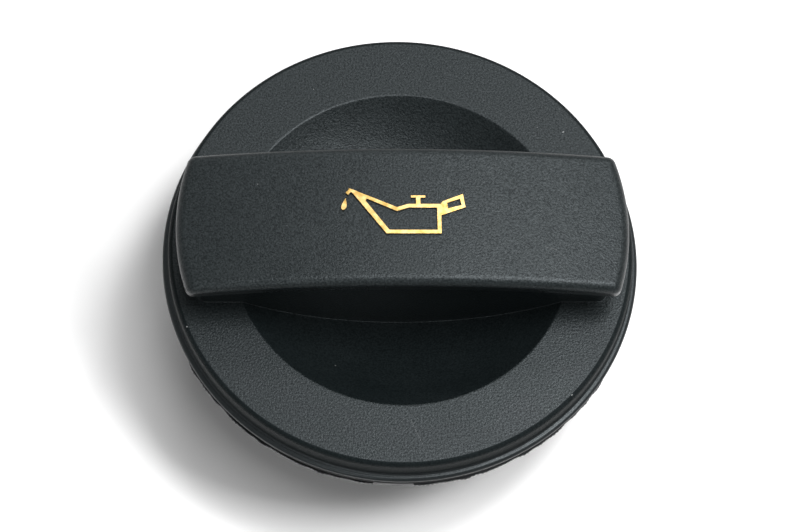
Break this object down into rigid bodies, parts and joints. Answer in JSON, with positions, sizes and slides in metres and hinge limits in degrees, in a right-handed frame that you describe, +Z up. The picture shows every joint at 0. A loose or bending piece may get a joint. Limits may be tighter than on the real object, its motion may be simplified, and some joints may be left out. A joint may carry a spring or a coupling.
{
  "type": "oil filler cap",
  "caption": "Quarter-turn oil filler cap: round flange with a finger dish under a crowned grip bar, a bayonet neck and a rubber seal.",
  "frame": {"origin": "centre of the neck's end face, on which the cap stands", "axes": "+Z up along the neck's axis, out of the filler hole; +X along the grip"},
  "size_m": [0.074, 0.074, 0.0399],
  "materials": {
    "black_nylon": "spark-eroded grain on the upper faces, smooth on the sides",
    "dark_nylon": "satin, as moulded, with ragged weld flash",
    "black_rubber": "matt moulded rubber"
  },
  "bodies": {
    "root": {"cover": "black_nylon", "neck_base": "dark_nylon", "seal_ring": "black_rubber"}
  },
  "joints": []
}
